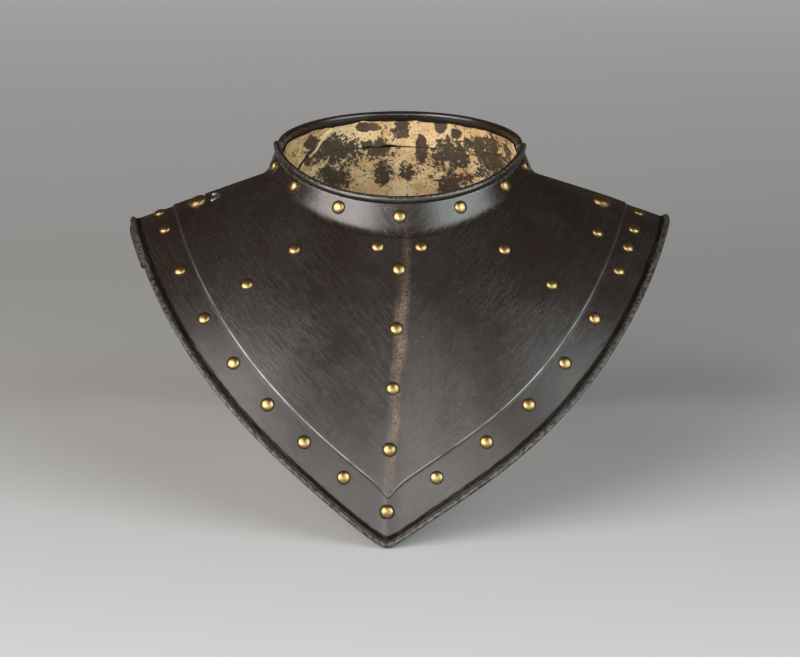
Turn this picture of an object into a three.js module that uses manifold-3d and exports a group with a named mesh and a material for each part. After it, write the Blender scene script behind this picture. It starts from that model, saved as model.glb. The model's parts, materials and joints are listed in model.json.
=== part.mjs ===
// A steel gorget: the plate defence for the neck and throat, in two plates that turn on a shoulder rivet.
// Millimetres, +Z up, +X towards the wearer's left. The front faces -Y, and the gorget stands on Z = 0.
import * as THREE from "three";
import { mergeVertices } from "three/addons/utils/BufferGeometryUtils.js";
import Module from "manifold-3d";

const wasm = await Module();
wasm.setup();

// Plates
const PLATE = 1.6; // thickness of both plates
const STEP = 0.8; // the front's border band lies this far below its raised field
const LAP_GAP = 0.7; // clearance between the two plates where they lap at the shoulders
const SEAT_GAP = 0.3; // clearance under a rivet's head, and round its shank

// Neck, at the middle of the collar's wall
const NECK_WIDTH = 132;
const NECK_DEPTH = 122;
const COLLAR_FLARE = 6; // the collar's foot stands this far outside its rim
const RIM_FRONT = 163; // heights of the rim
const RIM_SIDE = 182;
const RIM_BACK = 187;
const FOOT_FRONT = 146; // heights of the collar's foot
const FOOT_SIDE = 166;
const FOOT_BACK = 165;
const FOOT_ROUND = 3.5; // length of the concave foot on either side of its corner

// Outer edge, at the middle of its lip
const EDGE_WIDTH = 292;
const FRONT_REACH = 138; // from the neck's axis to the front point
const BACK_REACH = 98; // from the neck's axis to the back's lower edge
const CORNER_HEIGHT = 145; // the height towards which the edge rises at the shoulders
const CREST_HEIGHT = 140; // the height at which it levels off there
const BACK_FLAT = 92; // straight stretch of the back's lower edge, on which it stands
const TIP_LEAN = 6.5; // the front point stands this far towards -X
const KEEL = 5; // the medial keel stands out this far at the front point
const FRONT_BULGE = 9; // rise of each plate's middle over the line from foot to edge
const BACK_BULGE = 7;

// Plain numbers that shape the edge: how square its oval is, how round the point, how far the keel and the
// lean spread to the sides, how steeply the edge falls in front and behind, and how softly it levels off.
const EDGE_SHAPE = {
  square: 2.8,
  fullness: 0.6,
  pointRound: 0.03,
  keelSpread: 0.35,
  leanSpread: 0.32,
  frontStraight: 0.73,
  frontPower: 3.7,
  backPower: 1.8,
  crestSoft: 2,
};

// Border and rolled edges
const BAND_WIDTH = 22.8; // from the middle of the lip to the foot of the raised field
const STEP_RUN = 1.2;
const LIP_RUN = 4; // width of the groove that turns up into the lip
const LIP_TURN = 35; // degrees by which the lip turns up
const LIP_ROLL = 1.6; // radius of the roll on the front's lip
const RIM_ROLL = 1.9; // radius of the roll on the collar's rim
const BACK_ROLL = 1.6; // radius of the back plate's rolled edge
const BACK_PROUD = 2; // the back's edge shows this far outside the front's lip
const STAND_CUT = 0.3; // wear flats, ground off the lowest edges

// Ends of the plates at the shoulders. The front's end is cut straight, from near the neck out to the corner;
// its two places are distances behind the neck's axis.
const FRONT_END = [
  { side: -1, neck: -4, corner: -5 },
  { side: 1, neck: -7, corner: 9 },
];
const FRONT_SWEEP = 99; // degrees round the neck from the front, before the ends are cut
const BACK_START_PIVOT = 71; // degrees round the neck at which the back's lapping tongues begin
const BACK_START_FREE = 69;
const TONGUE_INSIDE = 100; // the tongues' edge towards the neck, from the neck's axis
const TONGUE_ROUND = 12; // the pivot tongue's end is round about the pivot
const OPENING = 35; // degrees by which the back swings open
const TONGUE_CLEAR = 14; // the pivot tongue's outer side is cut back to this many degrees less than the opening

// Rivets
const HEAD_RADIUS = 3.4;
const HEAD_HEIGHT = 2.6;
const SHANK_RADIUS = 1.3;
const TAIL = 0.35; // a shank's end stands this far out of the plate's inner face
const BIG_HEAD_RADIUS = 5.3;
const BIG_HEAD_HEIGHT = 4;
const BIG_SHANK_RADIUS = 2;
const RIVET_LINE = 16; // from the middle of the lip to the band's rivets
const COLLAR_RIVET_SHARE = 0.55; // their height on the collar, as a share from foot to rim

// Places of the shoulder fastenings: degrees round the neck, and share of the way from foot to edge
const SHOULDER_ANGLE = 79.5;
const SHOULDER_SHARE = 0.52;
const KEYHOLE_RUN = 8; // from the stud's seat to the eye of its keyhole, towards the neck
const WAY_EASE = 0.4; // extra room on either side of the stud's way out
const WAY_OUT = 40; // length of that way, well past the plate's end
const EYE_RADIUS = 3.4;

// Leather linings inside the back plate
const LEATHER = 1.2;
const LINING_GAP = 0.6; // clears the ends of the rivets
const LINING_TOP = 5; // bare steel shows this far below the rim
const LINING_START = 101; // degrees round the neck from the front
const LINING_SEAM = 1; // gap between the two linings, at the top of the foot's bend

// Rivets of the front plate's field, by angle and share of the way from foot to edge. A row with pair: true
// stands on both sides, and the others at their own angle only.
const FIELD_RIVETS = [
  { name: "medial", angle: 0, share: 0.12 },
  { name: "medial", angle: 0, share: 0.319 },
  { name: "medial", angle: 0, share: 0.512 },
  { name: "medial", angle: 0, share: 0.703 },
  { name: "medial", angle: 0, share: 0.895 },
  { name: "flank", angle: 8.4, share: 0.05, pair: true },
  { name: "upper", angle: 37.4, share: 0.21, pair: true },
  { name: "middle", angle: 44.5, share: 0.514, pair: true },
  { name: "shoulder", angle: 65.8, share: 0.576 },
];
const BAND_ANGLES = [9.8, 19.6, 29.1, 38.9, 49.2, 61, 73.7, 84];
const SPARE_BAND_ANGLE = 67.6; // a later rivet on the wearer's left side only
const COLLAR_ANGLES = [0, 27.4, 53.9, 76.3];
const BACK_BAND_ANGLES = [104, 123, 142, 161, 180];
const BACK_COLLAR_ANGLES = [110, 145, 180];

const RAD = Math.PI / 180;
const mix = (a, b, t) => a + (b - a) * t;

// A value that goes from its front to its side to its back size round the neck, c being the angle's cosine.
const around = (c, front, side, back, power = 2) => mix(side, c > 0 ? front : back, Math.abs(c) ** power);

// The edge's plan is a squared oval. It falls from the corners to a rounded point in front, and to a straight
// stretch at the back.
const level = (z) => {
  const soft = EDGE_SHAPE.crestSoft;
  return -soft * Math.log(Math.exp(-z / soft) + Math.exp(-CREST_HEIGHT / soft));
};

function edgePoint(theta) {
  const across = Math.abs(Math.sin(theta));
  const { square, fullness, pointRound, keelSpread, frontStraight, frontPower, backPower } = EDGE_SHAPE;
  const oval = Math.max(0, 1 - across ** square) ** fullness;
  const edge = new THREE.Vector3((EDGE_WIDTH / 2) * Math.sin(theta), 0, 0);
  if (Math.cos(theta) > 0) {
    const v = (Math.hypot(across, pointRound) - pointRound) / (Math.hypot(1, pointRound) - pointRound);
    edge.y = -FRONT_REACH * oval - KEEL * Math.max(0, 1 - across / keelSpread) ** 2;
    edge.z = level(mix(LIP_ROLL - STAND_CUT, CORNER_HEIGHT, mix(v ** frontPower, v, frontStraight)));
  } else {
    const flat = BACK_FLAT / EDGE_WIDTH;
    const v = Math.max(0, across - flat) / (1 - flat);
    edge.y = BACK_REACH * oval;
    edge.z = mix(BACK_PROUD + BACK_ROLL - STAND_CUT, level(CORNER_HEIGHT), v ** backPower);
  }
  return edge;
}

// The upright section at an angle round the neck. Its points are [h, z], h measured outwards from the
// collar's foot towards the edge, z from the foot up. Both plates are set off from this one surface.
class Section {
  constructor(theta) {
    const c = Math.cos(theta);
    this.front = c > 0;
    this.sine = Math.sin(theta);
    this.foot = new THREE.Vector3(
      (NECK_WIDTH / 2 + COLLAR_FLARE) * this.sine,
      -(NECK_DEPTH / 2 + COLLAR_FLARE) * c,
      around(c, FOOT_FRONT, FOOT_SIDE, FOOT_BACK),
    );
    const edge = edgePoint(theta);
    this.out = new THREE.Vector3(edge.x - this.foot.x, edge.y - this.foot.y, 0);
    this.reach = this.out.length();
    this.out.normalize();
    this.drop = edge.z - this.foot.z;
    this.length = Math.hypot(this.reach, this.drop);
    this.bulge = around(c, FRONT_BULGE, 0, BACK_BULGE);
    this.rim = [-COLLAR_FLARE, around(c, RIM_FRONT, RIM_SIDE, RIM_BACK, 1.2) - this.foot.z];
    const along = edgePoint(theta + 0.01).sub(edgePoint(theta - 0.01)).normalize();
    const down = this.out.clone().multiplyScalar(this.reach / this.length);
    down.z = this.drop / this.length;
    this.slant = Math.max(0.6, along.cross(down).length());
    const share = FOOT_ROUND / this.length;
    const start = this.at(share);
    const slope = this.slope(share);
    this.round = share;
    this.corner = [start[0] - slope[0] * share, start[1] - slope[1] * share];
    this.wallLength = Math.hypot(this.rim[0] - this.corner[0], this.rim[1] - this.corner[1]);
  }
  at(t) {
    const rise = (4 * t * (1 - t) * this.bulge) / this.length;
    return [this.reach * t - this.drop * rise, this.drop * t + this.reach * rise];
  }
  slope(t) {
    const rise = (4 * (1 - 2 * t) * this.bulge) / this.length;
    return [this.reach - this.drop * rise, this.drop + this.reach * rise];
  }
  // The share at which the edge is this far off, measured square to it.
  shareAt(distance) {
    return 1 - distance / (this.slant * this.length);
  }
  // A station of the convex part: its point, direction and share, set off outwards by lift.
  plate(t, lift = 0) {
    return station(this.at(t), this.slope(t), lift, t);
  }
  // A station of the concave foot, u from 0 on the collar to 1 on the convex part.
  bend(u, lift = 0) {
    const [a, b, c] = [this.collarPoint(FOOT_ROUND), this.corner, this.at(this.round)];
    const point = [0, 1].map((i) => (1 - u) ** 2 * a[i] + 2 * u * (1 - u) * b[i] + u * u * c[i]);
    const slope = [0, 1].map((i) => (1 - u) * (b[i] - a[i]) + u * (c[i] - b[i]));
    return station(point, slope, lift, 0);
  }
  // A point of the collar's wall, measured up from its corner with the convex part.
  collarPoint(up) {
    return [0, 1].map((i) => mix(this.corner[i], this.rim[i], up / this.wallLength));
  }
  collar(below, lift = 0) {
    const wall = [this.corner[0] - this.rim[0], this.corner[1] - this.rim[1]];
    const point = [0, 1].map((i) => mix(this.rim[i], this.corner[i], below / this.wallLength));
    return station(point, wall, lift, 0);
  }
  // A section point in space. The front's point leans to one side, more so towards the edge.
  place([h, z], t) {
    const lean = this.front ? TIP_LEAN * Math.exp(-((this.sine / EDGE_SHAPE.leanSpread) ** 2)) : 0;
    const down = THREE.MathUtils.smoothstep(t, 0, 1);
    return new THREE.Vector3(
      this.foot.x + this.out.x * h - lean * down,
      this.foot.y + this.out.y * h,
      this.foot.z + z,
    );
  }
}

function station(point, slope, lift, t) {
  const length = Math.hypot(...slope);
  const along = [slope[0] / length, slope[1] / length];
  const normal = [-along[1], along[0]];
  return { point: offset(point, normal, lift), along, normal, t };
}

const offset = (p, direction, d) => [p[0] + direction[0] * d, p[1] + direction[1] * d];

// Points round a rolled edge's centre, angles in degrees from the plate's direction towards its outer face.
function roll(centre, { along, normal }, radius, angles) {
  return angles.map((a) => {
    const p = offset(centre, along, radius * Math.cos(a * RAD));
    return offset(p, normal, radius * Math.sin(a * RAD));
  });
}

// The closed outline of a wall: its outer face from rim to edge, the edge's roll, the inner face back, and the
// rim's roll. Each point is { p, t }.
function outline(stations, wall, edgeRoll = [], rimRoll = []) {
  const outer = stations.map((s) => ({ p: offset(s.point, s.normal, wall / 2), t: s.t }));
  const inner = stations.map((s) => ({ p: offset(s.point, s.normal, -wall / 2), t: s.t })).reverse();
  return [...outer, ...edgeRoll.map((p) => ({ p, t: 1 })), ...inner, ...rimRoll.map((p) => ({ p, t: 0 }))];
}

const FRONT_FIELD = [0.2, 0.4, 0.6, 0.8];
const BACK_FIELD = [0, 0.25, 0.5, 0.75]; // shares of the back's convex part; the lining ends at the last
const backShares = (section) => BACK_FIELD.map((u) => mix(section.round, section.shareAt(-BACK_PROUD), u));

// The rim is rolled outwards, flush with the collar's inner face.
function rimRoll(section, lift) {
  const top = section.collar(0, lift);
  const centre = offset(top.point, top.normal, RIM_ROLL - PLATE / 2);
  return roll(centre, top, RIM_ROLL, [-95, -140, 175, 130, 85, 40]);
}

function frontOutline(section) {
  const { round } = section;
  const top = section.shareAt(BAND_WIDTH + STEP_RUN);
  const groove = section.shareAt(LIP_RUN);
  const lip = section.plate(groove, -STEP);
  const turn = LIP_TURN * RAD;
  const radius = (LIP_RUN / section.slant) / Math.sin(turn);
  const turned = (a) => {
    const along = offset([lip.along[0] * Math.cos(a), lip.along[1] * Math.cos(a)], lip.normal, Math.sin(a));
    const point = offset(offset(lip.point, lip.along, radius * Math.sin(a)), lip.normal, radius * (1 - Math.cos(a)));
    return { point, along, normal: [-along[1], along[0]], t: 1 };
  };
  const end = turned(turn);
  return outline(
    [
      section.collar(2 * RIM_ROLL),
      ...[0, 0.25, 0.5, 0.75].map((u) => section.bend(u)),
      section.plate(round),
      ...FRONT_FIELD.map((u) => section.plate(mix(round, top, u))),
      section.plate(top),
      section.plate(section.shareAt(BAND_WIDTH), -STEP),
      lip,
      turned(turn * 0.5),
    ],
    PLATE,
    roll(end.point, end, LIP_ROLL, [125, 80, 35, -10, -55, -100]),
    rimRoll(section, 0),
  );
}

// The back plate lies inside the front's surface, so that its ends slide under the front's band.
const COLLAR_INSET = PLATE + LAP_GAP;
const backInset = (t) => COLLAR_INSET + STEP * THREE.MathUtils.smoothstep(t, 0.1, 0.6);

function backOutline(section) {
  const last = section.shareAt(-BACK_PROUD);
  const end = section.plate(last, -backInset(1));
  const centre = offset(end.point, end.normal, PLATE / 2 - BACK_ROLL);
  return outline(
    [
      section.collar(2 * RIM_ROLL, -COLLAR_INSET),
      ...[0, 0.33, 0.67].map((u) => section.bend(u, -COLLAR_INSET)),
      ...backShares(section).map((t) => section.plate(t, -backInset(t))),
      section.plate(section.shareAt(LIP_RUN - BACK_PROUD), -backInset(1)),
    ],
    PLATE,
    roll(centre, end, BACK_ROLL, [90, 45, 0, -45, -90, -135]),
    rimRoll(section, -COLLAR_INSET),
  );
}

// The linings lie inside the back plate: one in the collar, one below the foot's bend.
const LINING_INSET = PLATE / 2 + LINING_GAP + LEATHER / 2;

function collarLiningOutline(section) {
  const lift = -COLLAR_INSET - LINING_INSET;
  const bottom = section.wallLength - FOOT_ROUND - LINING_SEAM;
  return outline([section.collar(LINING_TOP, lift), section.collar(bottom, lift)], LEATHER);
}

function bodyLiningOutline(section) {
  const lift = (t) => -backInset(t) - LINING_INSET;
  const below = backShares(section).map((t) => section.plate(t, lift(t)));
  return outline([section.bend(0, lift(0)), section.bend(0.5, lift(0)), ...below], LEATHER);
}

// Angles in radians from one end to the other, closer together near the medial keel.
function angles(from, to, count, crowd = 0) {
  return Array.from({ length: count + 1 }, (_, i) => {
    const u = (2 * i) / count - 1;
    const w = mix(u, u * Math.abs(u), crowd);
    return mix(from, to, (w + 1) / 2) * RAD;
  });
}

// Triangles that fill an outline, turned the same way round as the outline itself.
function capFaces(points) {
  const flat = points.map(({ p }) => new THREE.Vector2(...p));
  const way = Math.sign(THREE.ShapeUtils.area(flat));
  return THREE.ShapeUtils.triangulateShape([...flat], []).map(([a, b, c]) =>
    Math.sign(THREE.ShapeUtils.area([flat[a], flat[b], flat[c]])) === way ? [a, b, c] : [a, c, b],
  );
}

// A closed solid through the same outline at each angle, with flat ends.
function loft(thetas, outlineAt) {
  const sections = thetas.map((theta) => new Section(theta));
  const outlines = sections.map(outlineAt);
  const n = outlines[0].length;
  const position = outlines.flatMap((o, i) => o.flatMap(({ p, t }) => sections[i].place(p, t).toArray()));
  const index = [];
  for (let i = 0; i + 1 < thetas.length; i++) {
    for (let j = 0; j < n; j++) {
      const a = i * n + j;
      const b = i * n + ((j + 1) % n);
      // The inner face is split along the same diagonals as the outer one, which keeps the wall's thickness.
      if (j < n / 2) index.push(a, b, b + n, a, b + n, a + n);
      else index.push(a, b, a + n, b, b + n, a + n);
    }
  }
  const last = (thetas.length - 1) * n;
  for (const [a, b, c] of capFaces(outlines[0])) index.push(a, c, b);
  for (const [a, b, c] of capFaces(outlines.at(-1))) index.push(last + a, last + b, last + c);
  const geometry = new THREE.BufferGeometry();
  geometry.setAttribute("position", new THREE.Float32BufferAttribute(position, 3));
  geometry.setIndex(index);
  return geometry;
}

function solid(geometry) {
  const bare = geometry.clone();
  bare.deleteAttribute("normal");
  bare.deleteAttribute("uv");
  const merged = mergeVertices(bare, 1e-4);
  return new wasm.Manifold(
    new wasm.Mesh({
      numProp: 3,
      vertProperties: new Float32Array(merged.attributes.position.array),
      triVerts: new Uint32Array(merged.index.array),
    }),
  );
}

function geometryOf(manifold) {
  const mesh = manifold.getMesh();
  const geometry = new THREE.BufferGeometry();
  geometry.setAttribute("position", new THREE.BufferAttribute(new Float32Array(mesh.vertProperties), 3));
  geometry.setIndex(new THREE.BufferAttribute(new Uint32Array(mesh.triVerts), 1));
  geometry.computeVertexNormals();
  return geometry;
}

// Where a fastening goes: a place in the middle of a plate's wall, and the direction square to it there.
// stationOf gives the section's station that it stands on.
function seat(degrees, stationOf) {
  const at = (theta, ahead = 0) => {
    const section = new Section(theta);
    const { point, along, t } = stationOf(section);
    return section.place(offset(point, along, ahead), t);
  };
  const theta = degrees * RAD;
  const small = 0.01;
  const across = at(theta + small).sub(at(theta - small));
  const along = at(theta, small).sub(at(theta, -small));
  return { point: at(theta), normal: along.cross(across).normalize() };
}

// A domed head over a shank, as a turned profile. Height 0 is the plate's outer face, and the shank's end is
// depth below it.
function rivetGeometry(headRadius, headHeight, shankRadius, depth, sides) {
  const profile = [
    [0, -depth],
    [shankRadius, -depth],
    [shankRadius, SEAT_GAP],
    [headRadius, SEAT_GAP],
    [headRadius * 0.72, SEAT_GAP + headHeight * 0.72],
    [0, SEAT_GAP + headHeight],
  ].map(([x, y]) => new THREE.Vector2(x, y));
  return new THREE.LatheGeometry(profile, sides).rotateX(Math.PI / 2);
}

// A prism standing on the plate, used to cut holes: an outline extruded along Z by height both ways.
function cutter(points, height) {
  const shape = new THREE.Shape(points.map(([x, y]) => new THREE.Vector2(x, y)));
  const geometry = new THREE.ExtrudeGeometry(shape, { depth: 2 * height, bevelEnabled: false, steps: 1 });
  return geometry.translate(0, 0, -height);
}

const circle = (radius, sides, x = 0, y = 0) =>
  Array.from({ length: sides }, (_, i) => {
    const a = ((i + 0.5) * 2 * Math.PI) / sides;
    return [x + radius * Math.cos(a), y + radius * Math.sin(a)];
  });

function standOn({ point, normal }, lift = 0) {
  const turn = new THREE.Quaternion().setFromUnitVectors(new THREE.Vector3(0, 0, 1), normal);
  return new THREE.Matrix4().compose(
    point.clone().addScaledVector(normal, lift),
    turn,
    new THREE.Vector3(1, 1, 1),
  );
}

const steel = () => new THREE.MeshStandardMaterial({ color: 0x3a3734, roughness: 0.42, metalness: 1 });
const brass = () => new THREE.MeshStandardMaterial({ color: 0xb08a4a, roughness: 0.35, metalness: 1 });
const leather = () => new THREE.MeshStandardMaterial({ color: 0xb59a72, roughness: 0.9, metalness: 0 });

const frontBody = new THREE.Group();
const backBody = new THREE.Group();
const holes = { front: [], back: [] };

function addMesh(group, name, geometry, material) {
  const mesh = new THREE.Mesh(geometry, material);
  mesh.name = name;
  group.add(mesh);
  return mesh;
}

const HEAD_SIDES = 7;
const HOLE_SIDES = 6;
const HOLE_RADIUS = (SHANK_RADIUS + SEAT_GAP) / Math.cos(Math.PI / HOLE_SIDES);
const HOLE_DEPTH = 6;

function addRivet(group, cuts, name, place) {
  const face = PLATE / 2;
  const geometry = rivetGeometry(HEAD_RADIUS, HEAD_HEIGHT, SHANK_RADIUS, PLATE + TAIL, HEAD_SIDES);
  const mesh = addMesh(group, name, geometry, brass());
  mesh.applyMatrix4(standOn(place, face));
  cuts.push(cutter(circle(HOLE_RADIUS, HOLE_SIDES), HOLE_DEPTH).applyMatrix4(standOn(place, face)));
}

const frontSeat = (degrees, share, sink = 0) => seat(degrees, (section) => section.plate(share, -sink));
const frontBandSeat = (degrees) => seat(degrees, (section) => section.plate(section.shareAt(RIVET_LINE), -STEP));
const backSeat = (degrees, shareOf) =>
  seat(degrees, (section) => section.plate(shareOf(section), -backInset(shareOf(section))));
const collarSeat = (degrees, sink = 0) =>
  seat(degrees, (section) => section.collar(section.wallLength * (1 - COLLAR_RIVET_SHARE), -sink));
const sideName = (angle) => (angle === 0 ? "middle" : angle < 0 ? "right" : "left");

// The front's rivets. Left and right are the wearer's.
const bothSides = (angle) => (angle === 0 ? [0] : [-angle, angle]);
COLLAR_ANGLES.forEach((a, i) =>
  bothSides(a).forEach((angle) =>
    addRivet(frontBody, holes.front, `front_collar_rivet_${sideName(angle)}_${i}`, collarSeat(angle)),
  ),
);
FIELD_RIVETS.forEach(({ name, angle, share, pair }, i) =>
  (pair ? [-angle, angle] : [angle]).forEach((a) => {
    const sink = share > 0.88 ? STEP : 0;
    addRivet(frontBody, holes.front, `front_${name}_rivet_${sideName(a)}_${i}`, frontSeat(a, share, sink));
  }),
);
[...BAND_ANGLES.flatMap((a) => [-a, a]), SPARE_BAND_ANGLE].forEach((a, i) =>
  addRivet(frontBody, holes.front, `front_band_rivet_${sideName(a)}_${i >> 1}`, frontBandSeat(a)),
);

// The back's rivets: a plain row along its lower edge and one round its collar.
BACK_BAND_ANGLES.flatMap((a) => (a === 180 ? [a] : [-a, a])).forEach((a, i) => {
  const place = backSeat(a, (section) => section.shareAt(RIVET_LINE));
  addRivet(backBody, holes.back, `back_band_rivet_${a < 0 ? "right" : "left"}_${i >> 1}`, place);
});
BACK_COLLAR_ANGLES.flatMap((a) => (a === 180 ? [a] : [-a, a])).forEach((a, i) =>
  addRivet(
    backBody,
    holes.back,
    `back_collar_rivet_${a < 0 ? "right" : "left"}_${i >> 1}`,
    collarSeat(a, COLLAR_INSET),
  ),
);

// The pivot rivet and the closing stud go through both plates. The stud's shank sits in the front's slot.
const SHOULDER_SINK = backInset(SHOULDER_SHARE);
const BIG_DEPTH = SHOULDER_SINK + PLATE + TAIL;
const BIG_HOLE_RADIUS = (BIG_SHANK_RADIUS + SEAT_GAP) / Math.cos(Math.PI / 10);
const pivot = frontSeat(SHOULDER_ANGLE, SHOULDER_SHARE);
const stud = frontSeat(-SHOULDER_ANGLE, SHOULDER_SHARE);
for (const [name, group, place] of [
  ["pivot_rivet", frontBody, pivot],
  ["closing_stud", backBody, stud],
]) {
  const geometry = rivetGeometry(BIG_HEAD_RADIUS, BIG_HEAD_HEIGHT, BIG_SHANK_RADIUS, BIG_DEPTH, 12);
  addMesh(group, name, geometry, brass()).applyMatrix4(standOn(place, PLATE / 2));
  holes.back.push(cutter(circle(BIG_HOLE_RADIUS, 10), HOLE_DEPTH + 4).applyMatrix4(standOn(place, 0)));
}
holes.front.push(cutter(circle(BIG_HOLE_RADIUS, 10), HOLE_DEPTH).applyMatrix4(standOn(pivot, 0)));

// The keyhole: an eye towards the neck, a slot to the stud's seat, and the way out over the plate's end, along
// which the stud leaves when the back swings open.
const slotHalf = BIG_SHANK_RADIUS + SEAT_GAP;
const wayHalf = slotHalf + WAY_EASE;
const flatFrame = (place) => {
  const x = new THREE.Vector3(1, 0, 0).addScaledVector(place.normal, -place.normal.x).normalize();
  const y = new THREE.Vector3().crossVectors(place.normal, x);
  return new THREE.Matrix4().makeBasis(x, y, place.normal).setPosition(place.point);
};
const studFrame = flatFrame(stud);
for (const points of [
  circle(EYE_RADIUS, 10, KEYHOLE_RUN, 0),
  [[-slotHalf, -slotHalf], [KEYHOLE_RUN, -slotHalf], [KEYHOLE_RUN, slotHalf], [-slotHalf, slotHalf]],
  [[-wayHalf, -slotHalf], [wayHalf, -slotHalf], [wayHalf, WAY_OUT], [-wayHalf, WAY_OUT]],
]) {
  holes.front.push(cutter(points, HOLE_DEPTH).applyMatrix4(studFrame));
}

// The ends of the front plate, cut off behind a straight line.
const FAR = EDGE_WIDTH;
for (const { side, neck, corner } of FRONT_END) {
  const slope = (corner - neck) / (EDGE_WIDTH / 2 - NECK_WIDTH / 2);
  const line = (x) => neck + (x - NECK_WIDTH / 2) * slope;
  const off = [[0, line(0)], [side * FAR, line(FAR)], [side * FAR, FAR], [0, FAR]];
  holes.front.push(cutter(side > 0 ? off : off.reverse(), 2 * RIM_BACK));
}

// The back's collar stops short of the front's. Only a tongue laps under each shoulder.
for (const { side, neck } of FRONT_END) {
  const stop = neck + LAP_GAP;
  const room = [[0, stop], [0, -FAR], [side * TONGUE_INSIDE, -FAR], [side * TONGUE_INSIDE, stop]];
  holes.back.push(cutter(side < 0 ? room : room.reverse(), 2 * RIM_BACK));
}

// The pivot tongue is round about the pivot, and its outer side runs back far enough to swing under the front.
const clear = (OPENING - TONGUE_CLEAR) * RAD;
const sector = Array.from({ length: 9 }, (_, i) => {
  const a = mix(-Math.PI / 2, clear, i / 8);
  return [TONGUE_ROUND * Math.cos(a), TONGUE_ROUND * Math.sin(a)];
});
sector.push([FAR * Math.cos(clear), FAR * Math.sin(clear)], [FAR, -FAR], [0, -FAR]);
holes.back.push(cutter(sector.reverse(), HOLE_DEPTH * 5).applyMatrix4(flatFrame(pivot)));

// Everything below the standing plane is ground off.
const ground = new THREE.BoxGeometry(2 * EDGE_WIDTH, 2 * EDGE_WIDTH, EDGE_WIDTH).translate(0, 0, -EDGE_WIDTH / 2);

function cutFrom(geometry, cuts) {
  let made = solid(geometry).subtract(solid(ground));
  for (const cut of cuts) made = made.subtract(solid(cut));
  return geometryOf(made);
}

const frontAngles = [...angles(-FRONT_SWEEP, 0, 19).slice(0, -1), ...angles(0, FRONT_SWEEP, 19)];
addMesh(frontBody, "front_plate", cutFrom(loft(frontAngles, frontOutline), holes.front), steel());
const backAngles = angles(BACK_START_PIVOT, 360 - BACK_START_FREE, 30);
addMesh(backBody, "back_plate", cutFrom(loft(backAngles, backOutline), holes.back), steel());
const lined = (theta) => theta > LINING_START * RAD && theta < (360 - LINING_START) * RAD;
const liningAngles = backAngles.filter(lined);
addMesh(backBody, "collar_lining", loft(liningAngles, collarLiningOutline), leather());
addMesh(backBody, "body_lining", loft(liningAngles, bodyLiningOutline), leather());

const gorget = new THREE.Group();
gorget.add(frontBody, backBody);
gorget.updateMatrixWorld(true);
const box = new THREE.Box3().setFromObject(gorget);
const centre = box.getCenter(new THREE.Vector3());
gorget.position.set(-centre.x, -centre.y, -box.min.z);
gorget.updateMatrixWorld(true);

export default gorget;
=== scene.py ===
# A steel gorget of two plates that turn on a shoulder rivet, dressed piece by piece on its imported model.
# Metres, +Z up, +X towards the wearer's left. The front faces -Y.
import json
import math
import random

import bmesh
import bpy
from mathutils import Matrix, Vector, noise


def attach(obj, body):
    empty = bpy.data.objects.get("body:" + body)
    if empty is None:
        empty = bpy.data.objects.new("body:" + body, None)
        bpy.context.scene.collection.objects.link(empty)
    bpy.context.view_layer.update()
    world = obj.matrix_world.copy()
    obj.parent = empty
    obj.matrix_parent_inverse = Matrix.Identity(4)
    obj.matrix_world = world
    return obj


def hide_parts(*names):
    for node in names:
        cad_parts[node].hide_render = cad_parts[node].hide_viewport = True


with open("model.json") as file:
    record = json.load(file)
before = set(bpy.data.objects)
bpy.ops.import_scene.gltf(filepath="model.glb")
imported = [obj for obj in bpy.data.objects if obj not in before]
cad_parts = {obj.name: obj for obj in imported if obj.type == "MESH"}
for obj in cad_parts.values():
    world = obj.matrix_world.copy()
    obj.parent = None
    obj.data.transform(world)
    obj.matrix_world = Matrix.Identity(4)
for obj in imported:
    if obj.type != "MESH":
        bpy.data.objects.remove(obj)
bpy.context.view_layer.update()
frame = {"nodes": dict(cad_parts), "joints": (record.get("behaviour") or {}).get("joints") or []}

# The front plate
# One steel sheet: a collar with its rim rolled outwards, a concave foot, and a keeled breast with a raised
# field, a sunken border band and a turned lip. It is polished, darkened by age and worn, with painted
# highlights on its edges and painted shade in its grooves.
# The back plate is beaten to the same surface.
PLATE = 0.0016
STEP = 0.0008
SEAT_GAP = 0.0003
NECK_WIDTH = 0.132
NECK_DEPTH = 0.122
COLLAR_FLARE = 0.006
RIM_HEIGHT = (0.163, 0.182, 0.187)  # in front, at the sides and at the back
RIM_POWER = 1.2
FOOT_HEIGHT = (0.146, 0.166, 0.165)
FOOT_ROUND = 0.0035
FOOT_RUN = 1.6 * FOOT_ROUND  # over the foot's bend
EDGE_WIDTH = 0.292
EDGE_SQUARE = 2.8
EDGE_FULLNESS = 0.6
FRONT_REACH = 0.138
FRONT_STRAIGHT = 0.73
FRONT_POWER = 3.7
POINT_ROUND = 0.03
BACK_REACH = 0.098
BACK_FLAT = 0.092
BACK_POWER = 1.8
BACK_PROUD = 0.002
CORNER_HEIGHT = 0.145
CREST_HEIGHT = 0.140
CREST_SOFT = 0.002
SLANT_LEAST = 0.6
TIP_LEAN = 0.0065
LEAN_SPREAD = 0.32
KEEL = 0.005
KEEL_SPREAD = 0.35
FRONT_BULGE = 0.009
BACK_BULGE = 0.007
LIP_ROLL = 0.0016
BACK_ROLL = 0.0016
STAND_CUT = 0.0003


def mix(a, b, t):
    return a + (b - a) * t


def around(c, sizes, power=2.0):
    """A value that goes from its front to its side to its back size, c being the angle's cosine."""
    front, side, back = sizes
    return mix(side, front if c > 0 else back, abs(c) ** power)


def level(z):
    """Levels the outer edge off at the shoulders."""
    return -CREST_SOFT * math.log(math.exp(-z / CREST_SOFT) + math.exp(-CREST_HEIGHT / CREST_SOFT))


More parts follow.
